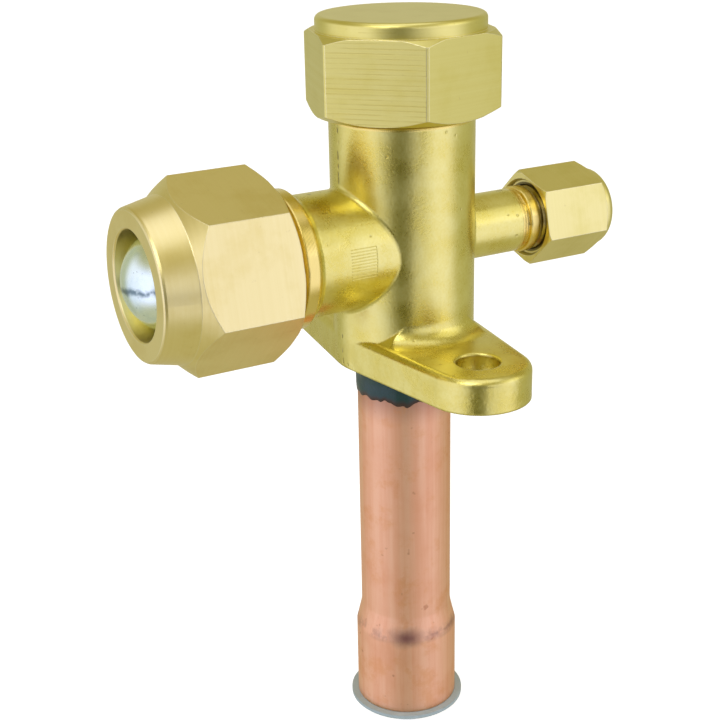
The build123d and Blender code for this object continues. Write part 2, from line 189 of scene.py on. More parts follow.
@dataclass
class EffectLibrary:
    """Builds the shared node groups and hands them out by name."""

    groups: dict[Effect, bpy.types.NodeTree] = field(default_factory=dict)

    def build(self) -> None:
        """Build all groups."""
        self.groups[Effect.FORGED_GRAIN] = self._forged_grain()
        self.groups[Effect.TOOL_LINES] = self._tool_lines()
        self.groups[Effect.TARNISH] = self._tarnish()
        self.groups[Effect.PITS] = self._pits()

    def _start(self, name: str, inputs: dict[str, float], outputs: tuple[str, ...]) -> tuple:
        """Open a node group with a Vector input, named numbers and named outputs.

        Args:
            name: The group's name.
            inputs: Number inputs and their usual values.
            outputs: Names of the number outputs.

        Returns:
            The helper, the group's input node and its output node.
        """
        tree = bpy.data.node_groups.new(name, "ShaderNodeTree")
        tree.interface.new_socket("Vector", in_out="INPUT", socket_type="NodeSocketVector")
        for socket, value in inputs.items():
            made = tree.interface.new_socket(socket, in_out="INPUT", socket_type="NodeSocketFloat")
            made.default_value = value
        for socket in outputs:
            tree.interface.new_socket(socket, in_out="OUTPUT", socket_type="NodeSocketFloat")
        nodes = Nodes(tree)
        return nodes, nodes.add("NodeGroupInput"), nodes.add("NodeGroupOutput")

    def _forged_grain(self) -> bpy.types.NodeTree:
        """Fine blasted grain on a shallow, uneven forged skin."""
        nodes, given, result = self._start(
            "forged_grain", {"Grain Scale": 2600.0, "Wave Scale": 210.0}, ("Height", "Tone"))
        vector = given.outputs["Vector"]
        grain = nodes.noise(vector, given.outputs["Grain Scale"], 2.0)
        dents = nodes.noise(vector, given.outputs["Wave Scale"], 3.0)
        nodes.join(nodes.math("ADD", nodes.math("MULTIPLY", grain, 0.35), dents), result.inputs["Height"])
        nodes.join(nodes.step(nodes.math("ADD", nodes.math("MULTIPLY", grain, 0.4), dents), 0.35, 1.0),
                   result.inputs["Tone"])
        return nodes.tree

    def _tool_lines(self) -> bpy.types.NodeTree:
        """Fine parallel lines left by a cutter, uneven in depth."""
        nodes, given, result = self._start(
            "tool_lines", {"Along": 0.0, "Pitch": 0.0002, "Unevenness": 0.6}, ("Height", "Tone"))
        turns = nodes.math("DIVIDE", given.outputs["Along"], given.outputs["Pitch"])
        ripple = nodes.math("SINE", nodes.math("MULTIPLY", turns, 2 * math.pi))
        combine = nodes.add("ShaderNodeCombineXYZ")
        nodes.join(turns, combine.inputs[0])
        streak = nodes.noise(combine.outputs[0], 0.37, 4.0, 0.7)
        nodes.join(nodes.math("ADD", nodes.math("MULTIPLY", ripple, 0.25),
                              nodes.math("MULTIPLY", streak, given.outputs["Unevenness"])),
                   result.inputs["Height"])
        nodes.join(nodes.step(streak, 0.3, 0.7), result.inputs["Tone"])
        return nodes.tree

    def _tarnish(self) -> bpy.types.NodeTree:
        """Soft cloudy patches and a few small dark specks."""
        nodes, given, result = self._start(
            "tarnish", {"Patch Scale": 90.0, "Speck Scale": 700.0}, ("Patches", "Specks"))
        vector = given.outputs["Vector"]
        nodes.join(nodes.step(nodes.noise(vector, given.outputs["Patch Scale"], 4.0, 0.6), 0.45, 0.72),
                   result.inputs["Patches"])
        nodes.join(nodes.step(nodes.noise(vector, given.outputs["Speck Scale"], 2.0, 0.5), 0.70, 0.78),
                   result.inputs["Specks"])
        return nodes.tree

    def _pits(self) -> bpy.types.NodeTree:
        """Rounded pits of uneven size, 1 inside a pit."""
        nodes, given, result = self._start("pits", {"Scale": 900.0, "Size": 0.3}, ("Mask",))
        cells = nodes.add("ShaderNodeTexVoronoi")
        nodes.join(given.outputs["Vector"], cells.inputs["Vector"])
        nodes.join(given.outputs["Scale"], cells.inputs["Scale"])
        distance = nodes.math("DIVIDE", cells.outputs["Distance"], given.outputs["Size"])
        nodes.join(nodes.step(distance, 1.0, 0.5), result.inputs["Mask"])
        return nodes.tree

    def use(self, nodes: Nodes, effect: Effect, vector: bpy.types.NodeSocket,
            **values: object) -> bpy.types.Node:
        """Place an effect in a material.

        Args:
            nodes: The material's helper.
            effect: Which effect.
            vector: Coordinates to read.
            values: Inputs by name, with underscores for spaces.

        Returns:
            The group node.
        """
        node = nodes.add("ShaderNodeGroup", node_tree=self.groups[effect])
        nodes.join(vector, node.inputs["Vector"])
        for name, value in values.items():
            nodes.feed(node.inputs[name.replace("_", " ")], value)
        return node


@dataclass
class Surface:
    """What a finish works out before it reaches the Principled shader."""

    colour: object
    roughness: object
    height: object = None
    bump_distance: float = 0.02 * MM
    bump_strength: float = 0.5
    metallic: float = 1.0
    coat: float = 0.0
    edge_radius: float = 0.12 * MM


@dataclass
class Workshop:
    """Turns finishes into materials: owns the effect library and the common end of each tree."""

    effects: EffectLibrary = field(default_factory=EffectLibrary)

    def material(self, name: str,
                 paint: Callable[[Nodes, bpy.types.NodeSocket], Surface]) -> bpy.types.Material:
        """Build a material.

        Args:
            name: The material's name.
            paint: Adds the finish's nodes, given the helper and Object coordinates.

        Returns:
            The material.
        """
        material = bpy.data.materials.new(name)
        material.use_nodes = True
        nodes = Nodes(material.node_tree)
        shader = material.node_tree.nodes["Principled BSDF"]
        place = nodes.add("ShaderNodeTexCoord").outputs["Object"]
        surface = paint(nodes, place)
        colour = surface.colour
        nodes.feed(shader.inputs["Base Color"],
                   colour if isinstance(colour, bpy.types.NodeSocket) else (*colour, 1.0))
        nodes.feed(shader.inputs["Roughness"], surface.roughness)
        shader.inputs["Metallic"].default_value = surface.metallic
        shader.inputs["Coat Weight"].default_value = surface.coat
        rounding = None
        if surface.edge_radius > 0:
            rounding = nodes.add("ShaderNodeBevel", samples=6)
            rounding.inputs["Radius"].default_value = surface.edge_radius
            nodes.join(rounding.outputs[0], shader.inputs["Normal"])
        if surface.height is not None:
            bump = nodes.add("ShaderNodeBump")
            bump.inputs["Strength"].default_value = surface.bump_strength
            bump.inputs["Distance"].default_value = surface.bump_distance
            nodes.join(surface.height, bump.inputs["Height"])
            if rounding is not None:
                nodes.join(rounding.outputs[0], bump.inputs["Normal"])
            nodes.join(bump.outputs[0], shader.inputs["Normal"])
        return material


# ---------------------------------------------------------------------------------------
# finishes
# ---------------------------------------------------------------------------------------


@dataclass(frozen=True)
class ForgedBrass:
    """The body's blasted forging skin, with turned ends and pits along its parting line."""

    skin: Colour = (0.88, 0.80, 0.27)
    skin_deep: Colour = (0.74, 0.62, 0.12)
    turned: Colour = (0.88, 0.70, 0.20)
    pit: Colour = (0.36, 0.29, 0.08)
    # painted shade for the recess inside the service cap's mouth
    recess_shade: Colour = (0.07, 0.05, 0.02)
    edge_radius: float = 0.45 * MM
    fade: float = 0.2 * MM               # width over which one surface gives way to another
    thread_start: float = 24.3 * MM      # the service thread gets painted shade beyond this distance, inside the cap's mouth
    barrel_end: float = 20.4 * MM        # the ports are turned beyond this distance
    housing_end: float = 40.0 * MM       # the neck is turned above this height
    flange_top: float = 5.65 * MM
    flange_wear: float = 0.8 * MM        # depth below the flange's top where knocks begin
    seam_half_width: float = 0.30 * MM
    line_pitch: float = 0.22 * MM
    forged_roughness: float = 0.24
    turned_roughness: float = 0.18

    def paint(self, shop: Workshop, nodes: Nodes, place: bpy.types.NodeSocket) -> Surface:
        """Work out the forged body's surface."""
        across, along, up = nodes.components(place)
        outward = nodes.math("ABSOLUTE", along)
        machined = nodes.math("MAXIMUM", nodes.step(outward, self.barrel_end, self.barrel_end + self.fade),
                              nodes.step(up, self.housing_end, self.housing_end + self.fade))
        forged = nodes.math("SUBTRACT", 1.0, machined)
        grain = shop.effects.use(nodes, Effect.FORGED_GRAIN, place)
        tarnish = shop.effects.use(nodes, Effect.TARNISH, place, Patch_Scale=120.0, Speck_Scale=900.0)
        lines = shop.effects.use(nodes, Effect.TOOL_LINES, place, Along=outward,
                                 Pitch=self.line_pitch)
        seam = nodes.step(nodes.math("ABSOLUTE", across), self.seam_half_width, self.seam_half_width * 0.6)
        pits = shop.effects.use(nodes, Effect.PITS, place, Scale=620.0, Size=0.42).outputs["Mask"]
        scattered = shop.effects.use(nodes, Effect.PITS, place, Scale=260.0, Size=0.08).outputs["Mask"]
        seam_pits = nodes.math("MULTIPLY", seam, pits)
        pitted = nodes.math("MULTIPLY", forged, nodes.math(
            "MAXIMUM", seam_pits, nodes.math("MULTIPLY", scattered, 0.4)), clamp=True)
        low_edge = nodes.step(up, self.flange_top + self.fade, self.flange_top - self.flange_wear)
        dents = nodes.math("MULTIPLY", low_edge, nodes.noise(place, 330.0, 4.0, 0.6))
        skin = nodes.mix(grain.outputs["Tone"], self.skin_deep, self.skin)
        skin = nodes.mix(nodes.math("MULTIPLY", tarnish.outputs["Patches"], 0.35), skin, self.skin_deep)
        colour = nodes.mix(machined, skin, self.turned)
        colour = nodes.mix(nodes.math("MULTIPLY", pitted, 0.7), colour, self.pit)
        # painted shade: the service thread inside the cap's mouth is darkened almost to black
        thread_shade = nodes.step(along, self.thread_start, self.thread_start + self.fade)
        colour = nodes.mix(nodes.math("MULTIPLY", thread_shade, 0.65), colour, self.recess_shade)
        shaded = nodes.math("MULTIPLY", low_edge, nodes.step(nodes.noise(place, 270.0, 3.0, 0.6), 0.38, 0.75))
        colour = nodes.mix(nodes.math("MULTIPLY", shaded, 0.5), colour, self.skin_deep)
        height = nodes.math("MULTIPLY", forged, nodes.math(
            "ADD", grain.outputs["Height"], nodes.math("MULTIPLY", dents, 2.2)))
        height = nodes.math("SUBTRACT", height, nodes.math("MULTIPLY", pitted, 2.5))
        height = nodes.math("ADD", height, nodes.math(
            "MULTIPLY", machined, nodes.math("MULTIPLY", lines.outputs["Height"], 0.3)))
        rough = nodes.blend(machined, nodes.math("ADD", self.forged_roughness, nodes.math(
            "MULTIPLY", grain.outputs["Tone"], 0.10)), self.turned_roughness)
        return Surface(colour, rough, height, bump_distance=0.08 * MM, bump_strength=0.6,
                       edge_radius=self.edge_radius)


@dataclass(frozen=True)
class TurnedBrass:
    """Bar-stock brass, milled on its flats and turned on its round faces."""

    bright: Colour = (0.86, 0.78, 0.27)
    deep: Colour = (0.72, 0.62, 0.14)
    # painted highlight along sharp edges, standing in for light caught on small bevels
    edge_highlight: Colour = (0.98, 0.92, 0.62)
    speck: Colour = (0.45, 0.32, 0.12)
    cutter_shade: Colour = (0.55, 0.45, 0.10)
    # painted shade inside the service cap's bore
    recess_shade: Colour = (0.07, 0.05, 0.02)
    edge_highlight_share: float = 0.8
    edge_highlight_radius: float = 0.14 * MM
    edge_radius: float = 0.16 * MM
    axis: Axis = Axis.Z
    line_pitch: float = 0.55 * MM
    line_depth: float = 0.5
    line_tone: float = 0.25
    roughness: float = 0.32
    milled_facing: Triple | None = None  # normal of the flat with coarse cutter lines
    milled_pitch: float = 0.75 * MM
    bore_radius: float = 0.0             # inside this distance from the port's axis the piece gets painted shade
    bore_end: float = 36.2 * MM
    port_height: float = 20.0 * MM
    fade: float = 0.2 * MM

    def paint(self, shop: Workshop, nodes: Nodes, place: bpy.types.NodeSocket) -> Surface:
        """Work out the surface of a turned and milled piece."""
        axes = nodes.components(place)
        lines = shop.effects.use(nodes, Effect.TOOL_LINES, place, Along=axes[self.axis.value],
                                 Pitch=self.line_pitch)
        tarnish = shop.effects.use(nodes, Effect.TARNISH, place, Patch_Scale=140.0, Speck_Scale=1300.0)
        grain = nodes.noise(place, 3800.0, 2.0)
        tone = nodes.math("ADD", nodes.math("MULTIPLY", lines.outputs["Tone"], self.line_tone),
                          nodes.math("MULTIPLY", tarnish.outputs["Patches"], 0.35))
        colour = nodes.mix(tone, self.bright, self.deep)
        colour = nodes.mix(nodes.math("MULTIPLY", tarnish.outputs["Specks"], 0.15), colour, self.speck)
        height = nodes.math("ADD", nodes.math("MULTIPLY", lines.outputs["Height"], self.line_depth),
                            nodes.math("MULTIPLY", grain, 0.35))
        if self.milled_facing is not None:
            cut = self._cutter_lines(nodes, place, axes[self.axis.value])
            colour = nodes.mix(nodes.math("MULTIPLY", cut, 0.5), colour, self.cutter_shade)
            height = nodes.math("SUBTRACT", height, nodes.math("MULTIPLY", cut, 1.6))
        # painted highlight: sharp outer edges are lightened
        colour = nodes.mix(nodes.math("MULTIPLY", self._edge_highlight_mask(nodes), self.edge_highlight_share), colour, self.edge_highlight)
        # painted shade: inside the bore, up to the cap's mouth, the colour is darkened almost to black
        if self.bore_radius > 0:
            reach = nodes.add("ShaderNodeVectorMath", operation="DISTANCE")
            nodes.join(nodes.stretched(place, (1.0, 0.0, 1.0)), reach.inputs[0])
            reach.inputs[1].default_value = (0.0, 0.0, self.port_height)
            inside = nodes.math(
                "MULTIPLY", nodes.step(reach.outputs["Value"], self.bore_radius, self.bore_radius - 0.3 * MM),
                nodes.step(axes[Axis.Y.value], self.bore_end + self.fade, self.bore_end))
            colour = nodes.mix(nodes.math("MULTIPLY", inside, 0.85), colour, self.recess_shade)
        rough = nodes.math("ADD", self.roughness, nodes.math("MULTIPLY", lines.outputs["Tone"], 0.06))
        return Surface(colour, rough, height, bump_strength=0.4, edge_radius=self.edge_radius)

    def _edge_highlight_mask(self, nodes: Nodes) -> bpy.types.NodeSocket:
        """Work out a mask that is 1 along sharp outer edges, where the painted highlight goes."""
        rounded = nodes.add("ShaderNodeBevel", samples=4)
        rounded.inputs["Radius"].default_value = self.edge_highlight_radius
        turn = nodes.add("ShaderNodeVectorMath", operation="DOT_PRODUCT")
        nodes.join(rounded.outputs[0], turn.inputs[0])
        nodes.join(nodes.add("ShaderNodeNewGeometry").outputs["Normal"], turn.inputs[1])
        return nodes.step(turn.outputs["Value"], 0.995, 0.960)

    def _cutter_lines(self, nodes: Nodes, place: bpy.types.NodeSocket,
                      along: bpy.types.NodeSocket) -> bpy.types.NodeSocket:
        """Work out the coarse cutter lines that cross one flat.

        Args:
            nodes: The material's helper.
            place: Object coordinates.
            along: The coordinate along the piece's axis.

        Returns:
            1 in a line and 0 between lines, on that flat only.
        """
        facing = nodes.add("ShaderNodeVectorMath", operation="DOT_PRODUCT")
        nodes.join(nodes.add("ShaderNodeNewGeometry").outputs["True Normal"], facing.inputs[0])
        facing.inputs[1].default_value = self.milled_facing
        on_flat = nodes.step(facing.outputs["Value"], 0.97, 0.99)
        wobble = nodes.math("MULTIPLY", nodes.noise(
            nodes.stretched(place, (0.2, 0.2, 1.0)), 130.0, 1.0), 0.4)
        turns = nodes.math("ADD", nodes.math("DIVIDE", along, self.milled_pitch), wobble)
        wave = nodes.math("ABSOLUTE", nodes.math("SUBTRACT", nodes.math("FRACT", turns), 0.5))
        depth = nodes.step(nodes.noise(nodes.stretched(place, (0.6, 0.6, 3.0)), 260.0, 3.0), 0.30, 0.62)
        return nodes.math("MULTIPLY", nodes.math("MULTIPLY", nodes.step(wave, 0.17, 0.06), depth), on_flat)


@dataclass(frozen=True)
class DrawnCopper:
    """Drawn copper tube with streaks along it, handling stains and a scorched mark on the swage."""

    bright: Colour = (0.98, 0.60, 0.36)
    deep: Colour = (0.88, 0.44, 0.23)
    scorch: Colour = (0.24, 0.10, 0.09)
    stain: Colour = (0.84, 0.38, 0.13)
    speck: Colour = (0.45, 0.14, 0.05)
    mark: Triple = (7.6 * MM, -4.5 * MM, -50.6 * MM)
    mark_reach: float = 6.0 * MM         # the smudge fades out at this distance
    mark_core: float = 0.8 * MM
    mark_squash: float = 1.9             # the smudge is this much wider than it is high
    mark_spread: float = 2.2 * MM
    swage: float = -50.6 * MM
    swage_reach: float = 1.5 * MM
    top: float = -6.0 * MM
    heat_reach: float = 5.0 * MM
    edge_radius: float = 0.6 * MM

    def paint(self, shop: Workshop, nodes: Nodes, place: bpy.types.NodeSocket) -> Surface:
        """Work out the tube's surface."""
        streaks = nodes.noise(nodes.stretched(place, (1.0, 1.0, 0.035)), 620.0, 5.0, 0.65)
        fine = nodes.noise(nodes.stretched(place, (1.0, 1.0, 0.05)), 2600.0, 2.0)
        tarnish = shop.effects.use(nodes, Effect.TARNISH, place, Patch_Scale=110.0, Speck_Scale=520.0)
        up = nodes.components(place)[Axis.Z.value]
        tone = nodes.math("ADD", nodes.math("MULTIPLY", nodes.step(streaks, 0.35, 0.7), 0.55),
                          nodes.math("MULTIPLY", tarnish.outputs["Patches"], 0.4), clamp=True)
        colour = nodes.mix(tone, self.bright, self.deep)
        offset = nodes.add("ShaderNodeVectorMath", operation="DISTANCE")
        nodes.join(nodes.stretched(place, (1.0, 1.0, self.mark_squash)), offset.inputs[0])
        offset.inputs[1].default_value = (self.mark[0], self.mark[1], self.mark[2] * self.mark_squash)
        near = nodes.step(nodes.math("ADD", offset.outputs["Value"], nodes.math(
            "MULTIPLY", nodes.noise(place, 330.0, 4.0, 0.7), self.mark_spread)), self.mark_reach,
            self.mark_core)
        ring = nodes.math("SUBTRACT", 1.0, nodes.math("MULTIPLY", nodes.math("ABSOLUTE", nodes.math(
            "SUBTRACT", up, self.swage)), 1 / self.swage_reach), clamp=True)
        ring = nodes.math("MULTIPLY", ring, nodes.step(nodes.noise(place, 260.0, 4.0, 0.7), 0.38, 0.66))
        heat = nodes.math("MULTIPLY", nodes.step(
            up, self.top - self.heat_reach, self.top + 1.5 * MM), 0.55)
        dark = nodes.math("MAXIMUM", nodes.math("MULTIPLY", near, 0.9),
                          nodes.math("MAXIMUM", nodes.math("MULTIPLY", ring, 0.55), heat), clamp=True)
        colour = nodes.mix(dark, colour, self.scorch)
        colour = nodes.mix(nodes.math("MULTIPLY", tarnish.outputs["Specks"], 0.45), colour, self.speck)
        blotch = nodes.step(nodes.noise(place, 150.0, 5.0, 0.7), 0.50, 0.68)
        colour = nodes.mix(nodes.math("MULTIPLY", blotch, 0.45), colour, self.stain)
        rough = nodes.math("ADD", 0.50, nodes.math("MULTIPLY", streaks, 0.12))
        height = nodes.math("ADD", streaks, nodes.math("MULTIPLY", fine, 0.3))
        return Surface(colour, rough, height, bump_strength=0.4, edge_radius=self.edge_radius)


@dataclass(frozen=True)
class ZincPlate:
    """Bright zinc plating with faint patches and one dark scuff across it."""

    tint: Colour = (0.87, 0.99, 0.86)
    patch: Colour = (0.46, 0.66, 0.72)
    speck: Colour = (0.10, 0.14, 0.16)
    scuff_shade: Colour = (0.04, 0.10, 0.12)
    scuff_height: float = 19.4 * MM
    scuff_tilt: float = 0.15
    scuff_wander: float = 2.0 * MM
    scuff_reach: float = 1.0 * MM
    scuff_core: float = 0.05 * MM

    def paint(self, shop: Workshop, nodes: Nodes, place: bpy.types.NodeSocket) -> Surface:
        """Work out the plated dome's surface."""
        tarnish = shop.effects.use(nodes, Effect.TARNISH, place, Patch_Scale=240.0, Speck_Scale=1500.0)
        colour = nodes.mix(nodes.math("MULTIPLY", tarnish.outputs["Patches"], 0.35), self.tint, self.patch)
        colour = nodes.mix(nodes.math("MULTIPLY", tarnish.outputs["Specks"], 0.5), colour, self.speck)
        across, _, up = nodes.components(place)
        wander = nodes.math("MULTIPLY", nodes.math(
            "SUBTRACT", nodes.noise(place, 300.0, 4.0, 0.6), 0.5), self.scuff_wander)
        tilted = nodes.math("SUBTRACT", up, nodes.math("MULTIPLY", across, self.scuff_tilt))
        off = nodes.math("ABSOLUTE", nodes.math(
            "SUBTRACT", nodes.math("ADD", tilted, wander), self.scuff_height))
        scuff = nodes.math("MULTIPLY", nodes.step(off, self.scuff_reach, self.scuff_core),
                           nodes.step(nodes.noise(place, 900.0, 2.0), 0.25, 0.6))
        colour = nodes.mix(nodes.math("MULTIPLY", scuff, 0.8), colour, self.scuff_shade)
        return Surface(colour, 0.24, nodes.noise(place, 900.0, 3.0), bump_distance=0.01 * MM,
                       bump_strength=0.35, edge_radius=0.0)


@dataclass(frozen=True)
class SealingPaint:
    """Thick dark green paint with glossy and matte patches."""

    paint_colour: Colour = (0.006, 0.050, 0.045)
    thin: Colour = (0.020, 0.070, 0.045)
    burnt: Colour = (0.045, 0.018, 0.010)

    def paint(self, shop: Workshop, nodes: Nodes, place: bpy.types.NodeSocket) -> Surface:
        """Work out the painted band's surface."""
        clouds = nodes.noise(place, 420.0, 4.0, 0.65)
        colour = nodes.mix(nodes.step(clouds, 0.50, 0.85), self.paint_colour, self.thin)
        rim = nodes.add("ShaderNodeAttribute", attribute_name="brush_edge").outputs["Fac"]
        colour = nodes.mix(nodes.step(rim, 0.80, 0.97), colour, self.burnt)
        rough = nodes.math("ADD", 0.32, nodes.math("MULTIPLY", clouds, 0.3))
        return Surface(colour, rough, clouds, bump_distance=0.25 * MM, bump_strength=0.6, metallic=0.0,
                       coat=0.2, edge_radius=0.0)


@dataclass(frozen=True)
class Plain:
    """A simple moulded or pressed material with a fine grain."""

    colour: Colour
    roughness: float
    metallic: float = 0.0
    grain_scale: float = 1800.0
    grain_depth: float = 0.3
    shade_share: float = 0.72            # how light the grain's darker tone is, next to the colour

    def paint(self, shop: Workshop, nodes: Nodes, place: bpy.types.NodeSocket) -> Surface:
        """Work out the surface."""
        grain = nodes.noise(place, self.grain_scale, 3.0)
        shade = tuple(self.shade_share * part for part in self.colour)
        colour = nodes.mix(nodes.math("MULTIPLY", grain, 0.8), self.colour, shade)
        rough = nodes.math("ADD", self.roughness, nodes.math("MULTIPLY", grain, 0.1))
        return Surface(colour, rough, grain, bump_strength=self.grain_depth,
                       metallic=self.metallic, edge_radius=0.08 * MM)


@dataclass
class FinishBook:
    """All materials of the valve, each built once and found by its name."""

    shop: Workshop
    made: dict[str, bpy.types.Material] = field(default_factory=dict)

    def build(self) -> None:
        """Build every material."""
        self.shop.effects.build()
        finishes = {
            "forged_body": ForgedBrass(),
            "bonnet_brass": TurnedBrass(line_pitch=0.31 * MM, line_depth=0.5, line_tone=0.3,
                                        bright=(0.84, 0.755, 0.235), deep=(0.73, 0.63, 0.13),
                                        milled_facing=(0.6794, -0.7337, 0.0)),
            "nut_brass": TurnedBrass(axis=Axis.Y, line_pitch=0.30 * MM, line_depth=0.25, line_tone=0.15,
                                     bright=(0.93, 0.80, 0.34), deep=(0.78, 0.62, 0.17)),
            "service_brass": TurnedBrass(axis=Axis.Y, line_pitch=0.24 * MM, line_depth=0.3, line_tone=0.15,
                                         bright=(0.88, 0.78, 0.29), bore_radius=6.2 * MM),
            "stamped_brass": ForgedBrass(edge_radius=0.08 * MM),
            "stem_brass": TurnedBrass(line_pitch=0.20 * MM, roughness=0.25),
            "core_brass": TurnedBrass(axis=Axis.Y, line_pitch=0.15 * MM, roughness=0.25),
            "braze_alloy": Plain((0.62, 0.45, 0.22), 0.45, 1.0, 900.0, 0.8),
            "drawn_copper": DrawnCopper(),
            "zinc_plate": ZincPlate(),
            "sealing_paint": SealingPaint(),
            "spring_steel": Plain((0.42, 0.43, 0.45), 0.28, 1.0),
            "black_rubber": Plain((0.020, 0.020, 0.021), 0.6),
            "pale_seal": Plain((0.70, 0.68, 0.62), 0.5),
            "grey_plastic": Plain((0.50, 0.62, 0.62), 0.35, 0.0, 700.0, 0.25),
        }
        for name, finish in finishes.items():
            self.made[name] = self.shop.material(
                name, lambda nodes, place, finish=finish: finish.paint(self.shop, nodes, place))

    def dress(self, piece: bpy.types.Object, name: str) -> None:
        """Give a piece one of the materials."""
        if piece.data.materials:
            for slot in range(len(piece.data.materials)):
                piece.data.materials[slot] = self.made[name]
        else:
            piece.data.materials.append(self.made[name])


# ---------------------------------------------------------------------------------------
# modelling by hand
# ---------------------------------------------------------------------------------------


@dataclass
class Bench:
    """Modelling steps that more than one sub-assembly uses."""

    pieces: list[str] = field(default_factory=list)

    @staticmethod
    def clear() -> None:
        """Leave edit mode and deselect everything."""
        if bpy.context.object and bpy.context.object.mode != "OBJECT":
            bpy.ops.object.mode_set(mode="OBJECT")
        bpy.ops.object.select_all(action="DESELECT")

    @staticmethod
    def only(piece: bpy.types.Object) -> None:
        """Select one piece and make it active."""
        Bench.clear()
        piece.select_set(True)
        bpy.context.view_layer.objects.active = piece

    @staticmethod
    def settle(piece: bpy.types.Object) -> None:
        """Apply the piece's place, turn and scale to its mesh."""
        Bench.only(piece)
        bpy.ops.object.transform_apply(location=True, rotation=True, scale=True)

    def finish(self, piece: bpy.types.Object, name: str, body: str, slot: str) -> bpy.types.Object:
        """Name a finished piece, put it on its body and report it.

        Args:
            piece: The finished mesh object.
            name: The piece's name.
            body: The CAD body it rides on.
            slot: The record's material slot; not used.

        Returns:
            The same piece.
        """
        piece.name = name
        piece.data.name = name
        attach(piece, body)
        self.pieces.append(name)
        LOG.info("piece %s rides on %s with %d faces", name, body, len(piece.data.polygons))
        return piece


@dataclass
class BarrelPad:
    """A small stamped pad of straight ridges on the flare barrel."""

    bench: Bench
    finishes: FinishBook
    barrel_radius: float = 9.84 * MM
    port_height: float = 20.0 * MM
    near: float = 10.5 * MM
    far: float = 15.0 * MM
    low_angle: float = -12.0
    high_angle: float = 16.0
    ridges: int = 11
    ridge_width: float = 0.16 * MM
    ridge_height: float = 0.07 * MM
    ridge_sides: int = 12
    bar_radius: float = 0.072 * MM
    bar_steps: int = 180                 # steps round the whole barrel
    bar_sides: int = 8
    bar_overlap: float = 0.5             # degrees past the outer ridges

    def build(self) -> None:
        """Model one ridge, copy it round the barrel and join the copies."""
        bars = []
        step = (self.high_angle - self.low_angle) / (self.ridges - 1)
        for index in range(self.ridges):
            bars.append(self._ridge(self.low_angle + index * step))
        bars.append(self._end_bar())
        Bench.clear()
        for bar in bars:
            bar.select_set(True)
        bpy.context.view_layer.objects.active = bars[0]
        bpy.ops.object.join()
        pad = bpy.context.object
        self.finishes.dress(pad, "stamped_brass")
        self.bench.finish(pad, "barrel_pad", "valve", "forged_brass")

    def _ridge(self, angle: float) -> bpy.types.Object:
        """Model one straight ridge at an angle round the barrel.

        Args:
            angle: Degrees from the +X side of the barrel, upwards.

        Returns:
            The ridge, in place.
        """
        Bench.clear()
        bpy.ops.mesh.primitive_cylinder_add(vertices=self.ridge_sides, radius=self.ridge_width / 2,
                                            depth=self.far - self.near, rotation=(math.pi / 2, 0, 0))
        ridge = bpy.context.object
        Bench.settle(ridge)
        ridge.data.transform(Matrix.Diagonal((self.ridge_height / (self.ridge_width / 2), 1, 1, 1)))
        out = self.barrel_radius
        turn = Matrix.Rotation(-math.radians(angle), 4, "Y")
        place = Matrix.Translation((0, -(self.near + self.far) / 2, self.port_height))
        ridge.data.transform(place @ turn @ Matrix.Translation((out, 0, 0)))
        return ridge

    def _end_bar(self) -> bpy.types.Object:
        """Model the curved bar that closes the pad's inner end.

        Returns:
            The bar, in place.
        """
        Bench.clear()
        bpy.ops.mesh.primitive_torus_add(major_radius=self.barrel_radius, minor_radius=self.bar_radius,
                                         major_segments=self.bar_steps, minor_segments=self.bar_sides,
                                         rotation=(math.pi / 2, 0, 0),
                                         location=(0, -self.near, self.port_height))
        bar = bpy.context.object
        Bench.settle(bar)
        bpy.ops.object.mode_set(mode="EDIT")
        bpy.ops.mesh.select_all(action="DESELECT")
        mesh = bmesh.from_edit_mesh(bar.data)
        for vertex in mesh.verts:
            angle = math.degrees(math.atan2(vertex.co.z - self.port_height, vertex.co.x))
            vertex.select = not (self.low_angle - self.bar_overlap <= angle
                                 <= self.high_angle + self.bar_overlap)
        bmesh.update_edit_mesh(bar.data)
        bpy.ops.mesh.delete(type="VERT")
        bpy.ops.mesh.select_all(action="SELECT")
        bpy.ops.mesh.region_to_loop()
        bpy.ops.mesh.edge_face_add()
        bpy.ops.object.mode_set(mode="OBJECT")
        return bar


